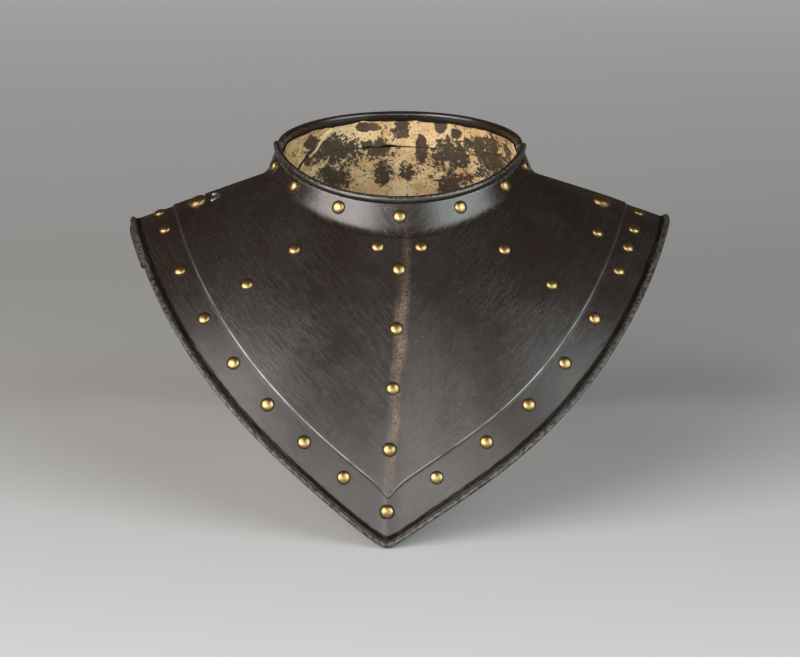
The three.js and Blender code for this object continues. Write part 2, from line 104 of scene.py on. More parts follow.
def edge_point(theta):
    """The outer edge, a squared oval in plan. It falls to a point in front and a straight stretch behind."""
    across = abs(math.sin(theta))
    oval = max(0.0, 1 - across**EDGE_SQUARE) ** EDGE_FULLNESS
    x = EDGE_WIDTH / 2 * math.sin(theta)
    if math.cos(theta) > 0:
        v = (math.hypot(across, POINT_ROUND) - POINT_ROUND) / (math.hypot(1, POINT_ROUND) - POINT_ROUND)
        y = -FRONT_REACH * oval - KEEL * max(0.0, 1 - across / KEEL_SPREAD) ** 2
        rise = FRONT_STRAIGHT * v + (1 - FRONT_STRAIGHT) * v**FRONT_POWER
        return Vector((x, y, level(mix(LIP_ROLL - STAND_CUT, CORNER_HEIGHT, rise))))
    flat = BACK_FLAT / EDGE_WIDTH
    v = max(0.0, across - flat) / (1 - flat)
    low = BACK_PROUD + BACK_ROLL - STAND_CUT
    return Vector((x, BACK_REACH * oval, mix(low, level(CORNER_HEIGHT), v**BACK_POWER)))


class Station:
    """A place on a section: point and direction in the section's plane, and the share of the way down."""

    def __init__(self, point, slope, lift=0.0, share=0.0, off=0.0):
        self.along = Vector(slope).normalized()
        self.normal = Vector((-self.along.y, self.along.x))
        self.point = Vector(point) + self.normal * lift
        self.share = share
        self.off = off  # distance from the outer edge over the surface

    def beside(self, side):
        return (self.point + self.normal * side, self.share, self.off, self.normal)


class Section:
    """The upright section at an angle round the neck, 0 in front. It is all that shapes the plates.

    Its points are (h, z), h outwards from the collar's foot and z up from it.
    """

    def __init__(self, theta):
        c = math.cos(theta)
        self.front = c > 0
        self.sine = math.sin(theta)
        self.foot = Vector((
            (NECK_WIDTH / 2 + COLLAR_FLARE) * self.sine,
            -(NECK_DEPTH / 2 + COLLAR_FLARE) * c,
            around(c, FOOT_HEIGHT),
        ))
        edge = edge_point(theta)
        self.out = Vector((edge.x - self.foot.x, edge.y - self.foot.y, 0))
        self.reach = self.out.length
        self.out.normalize()
        self.drop = edge.z - self.foot.z
        self.length = math.hypot(self.reach, self.drop)
        self.bulge = around(c, (FRONT_BULGE, 0, BACK_BULGE))
        self.rim = Vector((-COLLAR_FLARE, around(c, RIM_HEIGHT, RIM_POWER) - self.foot.z))
        along = (edge_point(theta + 0.01) - edge_point(theta - 0.01)).normalized()
        down = self.out * (self.reach / self.length) + Vector((0, 0, self.drop / self.length))
        self.slant = max(SLANT_LEAST, along.cross(down).length)
        self.round = FOOT_ROUND / self.length
        self.corner = self.at(self.round) - self.slope(self.round) * self.round
        self.wall = self.corner - self.rim

    def at(self, t):
        rise = 4 * t * (1 - t) * self.bulge / self.length
        return Vector((self.reach * t - self.drop * rise, self.drop * t + self.reach * rise))

    def slope(self, t):
        rise = 4 * (1 - 2 * t) * self.bulge / self.length
        return Vector((self.reach - self.drop * rise, self.drop + self.reach * rise))

    def share_at(self, distance):
        """The share of the way down at which the edge is this far off, square to it."""
        return 1 - distance / (self.slant * self.length)

    def plate(self, t, lift=0.0):
        return Station(self.at(t), self.slope(t), lift, t, (1 - t) * self.slant * self.length)

    def bend(self, u, lift=0.0):
        """A station of the concave foot, u from 0 on the collar to 1 on the convex part."""
        a = self.corner - self.wall.normalized() * FOOT_ROUND
        b, c = self.corner, self.at(self.round)
        point = a * (1 - u) ** 2 + b * (2 * u * (1 - u)) + c * u * u
        off = self.plate(self.round).off + (1 - u) * FOOT_RUN
        return Station(point, (b - a) * (1 - u) + (c - b) * u, lift, 0.0, off)

    def collar(self, below, lift=0.0):
        """A station of the collar's wall, measured down from the rim."""
        off = self.bend(0).off + self.wall.length - FOOT_ROUND - below
        return Station(self.rim + self.wall.normalized() * below, self.wall, lift, 0.0, off)

    def place(self, point, t):
        """A section point in space, from the neck's axis. The front's point leans to one side."""
        lean = TIP_LEAN * math.exp(-((self.sine / LEAN_SPREAD) ** 2)) if self.front else 0.0
        down = min(1.0, max(0.0, t))
        spot = self.foot + self.out * point.x + Vector((0, 0, point.y))
        spot.x -= lean * down * down * (3 - 2 * down)
        return spot


def seat(theta, station_of):
    """Where a fastening stands: a place in the middle of a plate's wall, and the direction square to it."""

    def at(angle, ahead=0.0):
        section = Section(angle)
        s = station_of(section)
        return section.place(s.point + s.along * ahead, s.share)

    small = 0.01
    across = at(theta + small) - at(theta - small)
    along = at(theta, 1e-5) - at(theta, -1e-5)
    return at(theta), along.cross(across).normalized()


# The pivot rivet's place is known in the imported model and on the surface, and so gives the neck's axis.
SHOULDER_ANGLE = math.radians(79.5)
SHOULDER_SHARE = 0.52
pivot_place, pivot_normal = seat(SHOULDER_ANGLE, lambda section: section.plate(SHOULDER_SHARE))
stud_place, stud_normal = seat(-SHOULDER_ANGLE, lambda section: section.plate(SHOULDER_SHARE))
NECK = Vector(frame["joints"][0]["pos_m"]) - pivot_place

DENTS = ((0.00016, 22), (0.00006, 70))  # height, and how close together


def beaten(spot):
    """How far the hammer has left the surface high or low at a place."""
    return sum(height * noise.noise(spot * close) for height, close in DENTS)


def loft(name, thetas, outline_at, finish=None):
    """A closed wall through one outline at each angle: a grid bent round the neck, merged and closed.

    The map "Surface" holds the run from the middle row and the distance from the outer edge, and "Zone" is 1
    on the collar.
    """
    sections = [Section(theta) for theta in thetas]
    outlines = [outline_at(section) for section in sections]
    columns = len(outlines[0])
    rows = len(thetas)
    bm = bmesh.new()
    bmesh.ops.create_grid(bm, x_segments=columns, y_segments=rows - 1, size=0.5)
    uv = bm.loops.layers.uv.new("Surface")
    zone = bm.loops.layers.uv.new("Zone")
    spots = []
    for section, outline in zip(sections, outlines):
        row = []
        for point, share, off, normal in outline:
            spot = section.place(point, share)
            outwards = section.out * normal.x + Vector((0, 0, normal.y))
            spot = spot + outwards * beaten(spot)
            row.append(finish(spot, outwards, off) if finish else spot)
        spots.append(row)
    run = [[0.0] * columns for _ in range(rows)]
    middle = rows // 2
    for i in list(range(middle + 1, rows)) + list(range(middle - 1, -1, -1)):
        back = i - 1 if i > middle else i + 1
        for j in range(columns):
            step = (spots[i][j] - spots[back][j]).length
            run[i][j] = run[back][j] + (step if i > middle else -step)
    flat = {}
    for vert in bm.verts:
        j = round((vert.co.x + 0.5) * columns)
        i = round((vert.co.y + 0.5) * (rows - 1))
        collar = 1.0 if outlines[i][j % columns][1] == 0.0 else 0.0
        flat[vert.index] = (run[i][j % columns], outlines[i][j % columns][2]), (collar, 0.0)
        vert.co = spots[i][j % columns] + NECK
    for face in bm.faces:
        for loop in face.loops:
            loop[uv].uv, loop[zone].uv = flat[loop.vert.index]
    bmesh.ops.remove_doubles(bm, verts=bm.verts, dist=1e-7)
    rims = [edge for edge in bm.edges if edge.is_boundary]
    bmesh.ops.holes_fill(bm, edges=rims, sides=0)
    bmesh.ops.recalc_face_normals(bm, faces=bm.faces)
    return bm


def between(start, end, count):
    """Evenly spaced values from start up to, but without, end."""
    return [mix(start, end, i / count) for i in range(count)]


def roll(centre, station, radius, start, end, count, off):
    """Points round a rolled edge, angles in degrees from the plate's direction towards its outer face."""
    points = []
    for i in range(count + 1):
        a = math.radians(mix(start, end, i / count))
        normal = station.along * math.cos(a) + station.normal * math.sin(a)
        points.append((centre + normal * radius, station.share, off, station.normal))
    return points


def inner(points):
    """The inner face's points: their distances from the edge count as minus, which the finish reads."""
    return [(p, share, -off, normal) for p, share, off, normal in points]


RIM_ROLL = 0.0019
RIM_COVER = 1.25 * RIM_ROLL  # the faces start this far below the rim, inside its roll


def rim_roll(section, lift):
    """The rim is rolled outwards, flush with the collar's inner face."""
    top = section.collar(0, lift)
    centre = top.point + top.normal * (RIM_ROLL - PLATE / 2)
    return roll(centre, top, RIM_ROLL, 268, 18, 15, top.off)


SHARP = 38  # degrees


def solid_object(name, bm, sharp=SHARP):
    """A named object of a finished mesh, smooth but for its real edges."""
    mesh = bpy.data.meshes.new(name)
    bm.to_mesh(mesh)
    bm.free()
    for polygon in mesh.polygons:
        polygon.use_smooth = True
    mesh.set_sharp_from_angle(angle=math.radians(sharp))
    piece = bpy.data.objects.new(name, mesh)
    bpy.context.scene.collection.objects.link(piece)
    return piece


BAND_WIDTH = 0.0228
STEP_RUN = 0.0012
STEP_FOOT = 0.0015
# Millimetres ahead of the step's top, and the share of the step that is fallen there
STEP_PROFILE = ((0.5, 0.0), (0.15, 0.02), (-0.1, 0.12), (-0.35, 0.34), (-0.85, 0.76), (-1.1, 0.92),
                (-1.4, 0.98), (-1.9, 1.0))
LIP_RUN = 0.004
LIP_TURN = math.radians(35)
FRONT_SWEEP = math.radians(99)
FRONT_COLUMNS = 250
CROWDING = 0.25
# The plate's ends: the side, and how far back each lies near the neck and at the corner
FRONT_END = ((-1, -0.004, -0.005), (1, -0.007, 0.009))


def front_faces(section, detail):
    """The stations of one face of the front plate, from under the rim to the lip."""
    top = section.share_at(BAND_WIDTH + STEP_RUN)
    wall = section.wall.length - FOOT_ROUND
    stations = [section.collar(d) for d in between(RIM_COVER, wall, max(3, detail // 4))]
    stations += [section.bend(u) for u in between(0, 1, max(5, detail // 3))]
    stations += [section.plate(t) for t in between(section.round, top, detail)]
    for ahead, fall in STEP_PROFILE:
        share = section.share_at(BAND_WIDTH + STEP_RUN + ahead * 0.001)
        stations.append(section.plate(share, -STEP * fall))
    start = section.share_at(BAND_WIDTH - STEP_FOOT)
    groove = section.share_at(LIP_RUN)
    stations += [section.plate(t, -STEP) for t in between(start, groove, max(3, detail // 4))]
    return stations


def lip_turns(section, count):
    """Stations of the lip, which turns up on a round from the groove."""
    lip = section.plate(section.share_at(LIP_RUN), -STEP)
    radius = LIP_RUN / section.slant / math.sin(LIP_TURN)
    turned = []
    for i in range(count + 1):
        a = LIP_TURN * i / count
        along = lip.along * math.cos(a) + lip.normal * math.sin(a)
        point = lip.point + lip.along * (radius * math.sin(a)) + lip.normal * (radius * (1 - math.cos(a)))
        turned.append(Station(point, along, 0.0, 1.0, LIP_RUN * (1 - i / count)))
    return turned


def front_outline(section):
    lip = lip_turns(section, 7)
    end = lip[-1]
    outer = front_faces(section, 34) + lip[:-2]
    inside = front_faces(section, 16) + lip[:-2]
    return (
        [s.beside(PLATE / 2) for s in outer]
        + roll(end.point, end, LIP_ROLL, 146, -146, 15, 0.0)
        + inner([s.beside(-PLATE / 2) for s in reversed(inside)])
        + rim_roll(section, 0)
    )


def crowded(start, end, count):
    """Angles from one end to the other, closer together towards the middle."""
    angles = []
    for i in range(count + 1):
        u = 2 * i / count - 1
        angles.append(mix(start, end, (mix(u, u * abs(u), CROWDING) + 1) / 2))
    return angles


front_mesh = loft("front_plate", crowded(-FRONT_SWEEP, FRONT_SWEEP, FRONT_COLUMNS), front_outline)
for side, near, far in FRONT_END:
    slope = (far - near) / (EDGE_WIDTH / 2 - NECK_WIDTH / 2)
    plane_co = NECK + Vector((side * NECK_WIDTH / 2, near, 0))
    plane_no = Vector((-side * slope, 1, 0)).normalized()
    half = [f for f in front_mesh.faces if f.calc_center_median().x * side > 0]
    verts = list({v for f in half for v in f.verts})
    edges = list({e for f in half for e in f.edges})
    bmesh.ops.bisect_plane(
        front_mesh, geom=verts + edges + half, plane_co=plane_co, plane_no=plane_no, clear_outer=True
    )
    open_edges = [e for e in front_mesh.edges if e.is_boundary]
    bmesh.ops.holes_fill(front_mesh, edges=open_edges, sides=0)
bmesh.ops.recalc_face_normals(front_mesh, faces=front_mesh.faces)
front_plate = solid_object("front_plate_dressed", front_mesh)


def prism(points, height, place):
    """A tool for cutting: a flat outline, drawn out by height both ways square to itself."""
    bm = bmesh.new()
    face = bm.faces.new([bm.verts.new((x, y, -height)) for x, y in points])
    drawn = bmesh.ops.extrude_face_region(bm, geom=[face])["geom"]
    moved = [v for v in drawn if isinstance(v, bmesh.types.BMVert)]
    bmesh.ops.translate(bm, verts=moved, vec=(0, 0, 2 * height))
    bmesh.ops.recalc_face_normals(bm, faces=bm.faces)
    bmesh.ops.transform(bm, matrix=place, verts=bm.verts)
    return bm


def cut(piece, tools):
    """Cuts each tool out of the piece, for good."""
    for bm in tools:
        tool = solid_object(piece.name + "_cut", bm)
        modifier = piece.modifiers.new("cut", "BOOLEAN")
        modifier.operation = "DIFFERENCE"
        modifier.solver = "EXACT"
        modifier.object = tool
        graph = bpy.context.evaluated_depsgraph_get()
        made = bpy.data.meshes.new_from_object(piece.evaluated_get(graph))
        piece.modifiers.clear()
        piece.data = made
        bpy.data.objects.remove(tool)
    for polygon in piece.data.polygons:
        polygon.use_smooth = True
    piece.data.set_sharp_from_angle(angle=math.radians(SHARP))


def on_surface(place, normal):
    """A frame that lies flat on the surface at a fastening, its x as near to the object's as it can be."""
    x = (Vector((1, 0, 0)) - normal * normal.x).normalized()
    y = normal.cross(x)
    turn = Matrix((x, y, normal)).transposed().to_4x4()
    return Matrix.Translation(place + NECK) @ turn


def circle(radius, sides, x=0.0):
    turns = [2 * math.pi * (i + 0.5) / sides for i in range(sides)]
    return [(x + radius * math.cos(a), radius * math.sin(a)) for a in turns]


BIG_SHANK = 0.002
KEYHOLE_RUN = 0.008
EYE_RADIUS = 0.0034
WAY_OUT = 0.040
WAY_EASE = 0.0004
CUT_DEPTH = 0.006
slot = BIG_SHANK + SEAT_GAP
way = slot + WAY_EASE
stud_frame = on_surface(stud_place, stud_normal)
cut(front_plate, [
    prism(circle(EYE_RADIUS, 32, KEYHOLE_RUN), CUT_DEPTH, stud_frame),
    prism([(-slot, -slot), (KEYHOLE_RUN, -slot), (KEYHOLE_RUN, slot), (-slot, slot)], CUT_DEPTH, stud_frame),
    prism([(-way, -slot), (way, -slot), (way, WAY_OUT), (-way, WAY_OUT)], CUT_DEPTH, stud_frame),
    prism(circle(slot, 24), CUT_DEPTH, on_surface(pivot_place, pivot_normal)),
])


def add_node(tree, kind, inputs=None, **settings):
    """One shader node with its settings, and its inputs given as values or as another node's output."""
    made = tree.nodes.new("ShaderNode" + kind)
    for key, value in settings.items():
        setattr(made, key, value)
    for key, value in (inputs or {}).items():
        if isinstance(value, bpy.types.NodeSocket):
            tree.links.new(value, made.inputs[key])
        else:
            made.inputs[key].default_value = value
    return made


def grain(tree, vector, scale, detail=3.0, roughness=0.55, distortion=0.0):
    return add_node(tree, "TexNoise", {
        "Vector": vector, "Scale": scale, "Detail": detail, "Roughness": roughness, "Distortion": distortion
    }).outputs["Fac"]


def ramp(tree, value, low, high, start=0.0, end=1.0):
    """Goes from start to end as the value goes from low to high, and stays there."""
    inputs = {"Value": value, "From Min": low, "From Max": high, "To Min": start, "To Max": end}
    return add_node(tree, "MapRange", inputs, clamp=True).outputs["Result"]


def maths(tree, operation, a, b=0.0):
    return add_node(tree, "Math", {0: a, 1: b}, operation=operation).outputs[0]


def times(tree, first, *factors):
    for factor in factors:
        first = maths(tree, "MULTIPLY", first, factor)
    return first


def plus(tree, first, *terms):
    for term in terms:
        first = maths(tree, "ADD", first, term)
    return first


def minus(tree, a, b):
    return maths(tree, "SUBTRACT", a, b)


def largest(tree, first, *others):
    for other in others:
        first = maths(tree, "MAXIMUM", first, other)
    return first


def distance_from(tree, value, middle):
    return maths(tree, "ABSOLUTE", minus(tree, value, middle))


def wander(tree, vector, size, *kind):
    """An uneven shift to either side of 0. The kind is the grain's scale, detail and roughness."""
    return times(tree, minus(tree, grain(tree, vector, *kind), 0.5), size)


def split(tree, vector):
    """A vector's x, y and z."""
    made = add_node(tree, "SeparateXYZ", {0: vector})
    return made.outputs[0], made.outputs[1], made.outputs[2]


def blend_colour(tree, amount, a, b):
    made = add_node(tree, "Mix", {"Factor": amount}, data_type="RGBA")
    for socket, value in (("A", a), ("B", b)):
        inlet = [s for s in made.inputs if s.name == socket and s.type == "RGBA"][0]
        if isinstance(value, bpy.types.NodeSocket):
            tree.links.new(value, inlet)
        else:
            inlet.default_value = (*value, 1.0)
    return [s for s in made.outputs if s.type == "RGBA"][0]


def new_finish(name):
    finish = bpy.data.materials.new(name)
    finish.use_nodes = True
    tree = finish.node_tree
    return finish, tree, tree.nodes["Principled BSDF"]


def set_inputs(tree, shader, inputs):
    for key, value in inputs.items():
        if isinstance(value, bpy.types.NodeSocket):
            tree.links.new(value, shader.inputs[key])
        else:
            shader.inputs[key].default_value = value


STEEL_BROWN = (0.012, 0.0060, 0.0036)
STEEL_GREY = (0.016, 0.0098, 0.0072)
STEEL_DARK = (0.007, 0.004, 0.003)
STEEL_RUBBED = (0.105, 0.098, 0.092)
# A painted highlight colour for the field's edge and the lip
STEEL_BRIGHT = (0.38, 0.36, 0.34)
# A painted highlight colour for the top of the front rim
STEEL_RIM_HIGHLIGHT = (0.42, 0.38, 0.35)
# Black for the rust pits and the keel's marks, and for the painted shade at the step, in the groove and on
# the lip
STEEL_DIRT_AND_SHADE = (0.006, 0.004, 0.003)
KEEL_RUBBED = (0.16, 0.095, 0.055)
MOTTLED = 0.55
FROSTED = 0.5
PITTED = 0.55
SCRATCHED = 0.42
# How strong the wear and painted highlights on the field's edge and the lip are
EDGE_BRIGHT = 0.85
LIP_BRIGHT = 0.34
# How strong the painted shade is at the step's foot and on the lip
STEP_SHADE = 0.30
LIP_SHADE = 0.55
GROOVE_AT = 0.0029
KEEL_RUB_AT = 0.0022
KEEL_RUB = 0.8
SCRIBED_AT = 0.0056
SCRIBED = 0.45
RIDGE_DARK = 0.6
RIM_SLOPE = 0.31
RIM_LOW = 0.1737
SKIN_METAL = 0.3
SKIN_SHINE = 0.9
# Specular level under the painted shade, kept low so that it shows black
SHADE_SHINE = 0.04
BREAST_ROUGHNESS = 0.32
COLLAR_ROUGHNESS = 0.23
# Degrees up from level, lines to a metre across and along them, and the level from which they show
SCRATCHES = ((44, 2200, 60, 0.57), (52, 3000, 90, 0.58), (34, 1800, 50, 0.61), (-20, 1900, 60, 0.67))


def dark_steel(name, keel):
    """Old polished steel: mottled, scratched and pitted, with painted shade in its grooves and painted
    highlights on its edges.

    With a keel, the surface beside it is rubbed brown and two lines are scribed along it.
    """
    finish, tree, shader = new_finish(name)
    coords = add_node(tree, "TexCoord")
    place = coords.outputs["Object"]
    x, y, z = split(tree, place)
    run, off = split(tree, add_node(tree, "UVMap", uv_map="Surface").outputs["UV"])[:2]
    collar = split(tree, add_node(tree, "UVMap", uv_map="Zone").outputs["UV"])[0]
    outside = ramp(tree, off, -0.0005, 0.0)

    # Fine polishing scratches run outwards and up on both halves
    folded = add_node(tree, "CombineXYZ", {0: maths(tree, "ABSOLUTE", x), 1: y, 2: z}).outputs[0]
    scratches = 0.0
    for degrees, across, along, low in SCRATCHES:
        turned = add_node(tree, "Mapping", {
            "Vector": folded, "Rotation": (0, math.radians(-degrees), 0),
            "Scale": (1 / along, 1 / along, 1 / across),
        }, vector_type="TEXTURE").outputs[0]
        scratches = largest(tree, ramp(tree, grain(tree, turned, 1.0, 2.0, 0.6), low, low + 0.09), scratches)
    patches = ramp(tree, grain(tree, place, 20, 4, 0.6), 0.40, 0.66, 0.08, 1.0)
    scratches = times(tree, scratches, patches, outside)

    clouds = ramp(tree, grain(tree, place, 11, 5, 0.62, 0.4), 0.36, 0.66)
    mottle = ramp(tree, grain(tree, place, 170, 6, 0.74), 0.44, 0.70)
    colour = blend_colour(tree, clouds, STEEL_BROWN, STEEL_GREY)
    colour = blend_colour(tree, times(tree, mottle, MOTTLED), colour, STEEL_DARK)

    # Pale frosting where the polish is rubbed through, and pits of old rust
    frost = times(
        tree,
        ramp(tree, grain(tree, place, 1100, 4, 0.75), 0.50, 0.68),
        ramp(tree, grain(tree, place, 27, 4, 0.6), 0.52, 0.68),
        outside,
    )
    colour = blend_colour(tree, times(tree, frost, FROSTED), colour, STEEL_RUBBED)
    cells = add_node(tree, "TexVoronoi", {"Vector": place, "Scale": 260.0})
    chance = add_node(tree, "SeparateColor", {0: cells.outputs["Color"]}).outputs[0]
    pits = times(tree, ramp(tree, cells.outputs["Distance"], 0.22, 0.10), ramp(tree, chance, 0.90, 0.92))
    colour = blend_colour(tree, times(tree, pits, PITTED), colour, STEEL_DIRT_AND_SHADE)

    # The raised field's edge and the lip are rubbed and carry painted highlights, fainter higher up; the
    # step's foot, the groove between and the lip carry painted shade
    crest = distance_from(tree, off, BAND_WIDTH + STEP_RUN - 0.0001)
    wear_and_highlight = times(
        tree,
        ramp(tree, crest, 0.00055, 0.00020),
        ramp(tree, grain(tree, place, 70, 4), 0.36, 0.60, 0.15, 0.9),
        ramp(tree, z, 0.135, 0.09, 0.06, 1.0),
    )
    lip = times(
        tree,
        ramp(tree, off, 0.0012, 0.0003),
        ramp(tree, off, -0.0003, 0.0),
        ramp(tree, grain(tree, place, 480, 5, 0.7), 0.40, 0.66),
    )
    wear_and_highlight = largest(tree, wear_and_highlight, times(tree, lip, LIP_BRIGHT))
    line = plus(tree, off, wander(tree, place, 0.0013, 190, 4))
    # Painted shade: a thin dark line at the step's foot, a black groove inside the lip and a darker lip
    darkening = largest(
        tree,
        times(tree, ramp(tree, distance_from(tree, line, BAND_WIDTH - 0.0001), 0.0009, 0.0002), STEP_SHADE),
        ramp(tree, distance_from(tree, line, GROOVE_AT), 0.0018, 0.0009),
        times(tree, ramp(tree, off, 0.0016, 0.0008), LIP_SHADE),
    )
    colour = blend_colour(tree, darkening, colour, STEEL_DIRT_AND_SHADE)
    colour = blend_colour(tree, times(tree, scratches, SCRATCHED), colour, STEEL_RUBBED)
    colour = blend_colour(tree, times(tree, wear_and_highlight, EDGE_BRIGHT), colour, STEEL_BRIGHT)
    roughness = plus(
        tree,
        ramp(tree, collar, 0.0, 1.0, BREAST_ROUGHNESS, COLLAR_ROUGHNESS),
        ramp(tree, clouds, 0.0, 1.0, -0.02, 0.03),
        times(tree, mottle, 0.08),
        times(tree, darkening, 0.15),
        ramp(tree, crest, 0.0012, 0.0005, 0.0, 0.12),
    )

    if keel:
        # The keel's rub is stippled, and its ridge and the two scribed lines beside it are dark
        beside = distance_from(tree, plus(tree, run, wander(tree, place, 0.007, 45, 3)), KEEL_RUB_AT)
        rub = times(
            tree,
            ramp(tree, beside, 0.0046, 0.0012),
            ramp(tree, off, 0.020, 0.040),
            ramp(tree, off, 0.150, 0.110),
            ramp(tree, grain(tree, place, 900, 3, 0.7), 0.36, 0.58),
            ramp(tree, grain(tree, place, 30, 3), 0.36, 0.56, 0.35, 1.0),
        )
        colour = blend_colour(tree, times(tree, rub, KEEL_RUB), colour, KEEL_RUBBED)
        roughness = plus(tree, roughness, times(tree, rub, 0.12))
        from_keel = maths(tree, "ABSOLUTE", run)
        scribed = times(
            tree,
            ramp(tree, distance_from(tree, from_keel, SCRIBED_AT), 0.00020, 0.00006),
            ramp(tree, off, 0.026, 0.030),
            ramp(tree, off, 0.110, 0.090),
        )
        ridge = times(
            tree,
            ramp(tree, from_keel, 0.00035, 0.0001),
            ramp(tree, grain(tree, place, 90, 4), 0.42, 0.6),
            ramp(tree, off, 0.150, 0.120),
        )
        marks = largest(tree, times(tree, scribed, SCRIBED), times(tree, ridge, RIDGE_DARK))
        colour = blend_colour(tree, marks, colour, STEEL_DIRT_AND_SHADE)

    # A speckled painted highlight on the top of the collar's front rim, where it faces up
    up = split(tree, coords.outputs["Normal"])[2]
    aslant = minus(tree, z, times(tree, y, RIM_SLOPE))
    crown = times(
        tree,
        ramp(tree, up, 0.25, 0.45),
        ramp(tree, up, 0.95, 0.80),
        ramp(tree, aslant, RIM_LOW, RIM_LOW + 0.0005),
        ramp(tree, grain(tree, place, 1100, 4, 0.7), 0.46, 0.64, 0.0, 0.36),
    )
    colour = blend_colour(tree, crown, colour, STEEL_RIM_HIGHLIGHT)
    height = minus(tree, grain(tree, place, 420, 4, 0.65), times(tree, pits, 1.2))
    height = minus(tree, height, times(tree, scratches, 0.6))
    bump = add_node(tree, "Bump", {"Strength": 0.22, "Distance": 0.00025, "Height": height})
    set_inputs(tree, shader, {
        "Base Color": colour,
        "Roughness": roughness,
        "Metallic": largest(tree, scratches, wear_and_highlight, frost, SKIN_METAL),
        # The painted shade also takes away the reflection where it lies
        "Specular IOR Level": ramp(tree, darkening, 0.1, 0.9, SKIN_SHINE, SHADE_SHINE),
        "Normal": bump.outputs[0],
    })
    return finish


front_plate.data.materials.append(dark_steel("front_steel", keel=True))
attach(front_plate, "front")
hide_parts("front_plate")

# The keyhole's burr
# The keyhole's edge towards the neck stands up in a thin burr of the plate's own steel. The stud's head has
# rubbed it bare.
BURR_FOOT = PLATE / 2 - 0.0002
# Out from the eye, and up from the foot
BURR_PROFILE = ((0.0, 0.0), (0.0002, 0.0011), (0.0009, 0.0009), (0.0016, 0.0))
BURR_TURN = math.radians(190)
BARE_LIGHT = (0.42, 0.39, 0.36)
BARE_DARK = (0.22, 0.20, 0.18)


def rubbed_bare(name):
    """Steel rubbed to bare metal, unevenly."""
    finish, tree, shader = new_finish(name)
    place = add_node(tree, "TexCoord").outputs["Object"]
    patches = ramp(tree, grain(tree, place, 500, 4), 0.4, 0.62)
    colour = blend_colour(tree, patches, BARE_LIGHT, BARE_DARK)
    set_inputs(tree, shader, {"Base Color": colour, "Metallic": 1.0, "Roughness": 0.42})
    return finish


burr_mesh = bmesh.new()
ring = [burr_mesh.verts.new((EYE_RADIUS + out, 0, BURR_FOOT + up)) for out, up in BURR_PROFILE]
wire = [burr_mesh.edges.new((ring[i - 1], ring[i])) for i in range(len(ring))]
half_back = Matrix.Rotation(-BURR_TURN / 2, 3, "Z")
bmesh.ops.rotate(burr_mesh, verts=ring, cent=(0, 0, 0), matrix=half_back)
bmesh.ops.spin(burr_mesh, geom=ring + wire, cent=(0, 0, 0), axis=(0, 0, 1), angle=BURR_TURN, steps=28)
bmesh.ops.holes_fill(burr_mesh, edges=[e for e in burr_mesh.edges if e.is_boundary], sides=0)
bmesh.ops.recalc_face_normals(burr_mesh, faces=burr_mesh.faces)
burr_mesh.transform(stud_frame @ Matrix.Translation((KEYHOLE_RUN, 0, 0)))
burr = solid_object("keyhole_burr", burr_mesh)
burr.data.materials.append(rubbed_bare("bare_steel"))
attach(burr, "front")

# The back plate
# The same make as the front, lying inside its surface so that two tongues slide under the front's shoulders.
# Its edge is rolled, and its rim is rolled outwards above the front's.
LAP_GAP = 0.0007
COLLAR_INSET = PLATE + LAP_GAP
BACK_START_PIVOT = math.radians(71)
BACK_START_FREE = math.radians(69)
TONGUE_INSIDE = 0.100
TONGUE_ROUND = 0.012
TONGUE_CUT = 0.030
OPENING = math.radians(35)
TONGUE_CLEAR = math.radians(14)
BACK_COLUMNS = 230
SINK_START = 0.1
SINK_RUN = 0.5


def back_inset(t):
    """How far the back plate lies inside the common surface: more in its lower part, under the band."""
    u = min(1.0, max(0.0, (t - SINK_START) / SINK_RUN))
    return COLLAR_INSET + STEP * u * u * (3 - 2 * u)


def back_faces(section, detail):
    last = section.share_at(LIP_RUN - BACK_PROUD)
    wall = section.wall.length - FOOT_ROUND
    stations = [section.collar(d, -COLLAR_INSET) for d in between(RIM_COVER, wall, detail // 4)]
    stations += [section.bend(u, -COLLAR_INSET) for u in between(0, 1, max(5, detail // 3))]
    stations += [section.plate(t, -back_inset(t)) for t in between(section.round, last, detail)]
    return stations


def back_outline(section):
    end = section.plate(section.share_at(-BACK_PROUD), -back_inset(1.0))
    centre = end.point + end.normal * (PLATE / 2 - BACK_ROLL)
    return (
        [s.beside(PLATE / 2) for s in back_faces(section, 34)]
        + roll(centre, end, BACK_ROLL, 96, -150, 14, 0.0)
        + inner([s.beside(-PLATE / 2) for s in reversed(back_faces(section, 16))])
        + rim_roll(section, -COLLAR_INSET)
    )


back_end = 2 * math.pi - BACK_START_FREE
back_angles = between(BACK_START_PIVOT, back_end, BACK_COLUMNS) + [back_end]
back_plate = solid_object("back_plate_dressed", loft("back_plate", back_angles, back_outline))
at_neck = Matrix.Translation(NECK)
FAR = EDGE_WIDTH  # well past the plate
tools = []
for side, near, far in FRONT_END:
    stop = near + LAP_GAP
    room = [(0, stop), (0, -FAR), (side * TONGUE_INSIDE, -FAR), (side * TONGUE_INSIDE, stop)]
    tools.append(prism(room, FAR, at_neck))
turned_clear = OPENING - TONGUE_CLEAR
round_turns = between(-math.pi / 2, turned_clear, 24) + [turned_clear]
sector = [(TONGUE_ROUND * math.cos(a), TONGUE_ROUND * math.sin(a)) for a in round_turns]
sector += [(FAR * math.cos(turned_clear), FAR * math.sin(turned_clear)), (FAR, -FAR), (0, -FAR)]
tools.append(prism(sector, TONGUE_CUT, on_surface(pivot_place, pivot_normal)))
below = [(-FAR, -FAR), (FAR, -FAR), (FAR, FAR), (-FAR, FAR)]
tools.append(prism(below, FAR / 2, Matrix.Translation((0, 0, -FAR / 2))))
cut(back_plate, tools)
back_plate.data.materials.append(dark_steel("back_steel", keel=False))
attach(back_plate, "back")
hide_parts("back_plate")

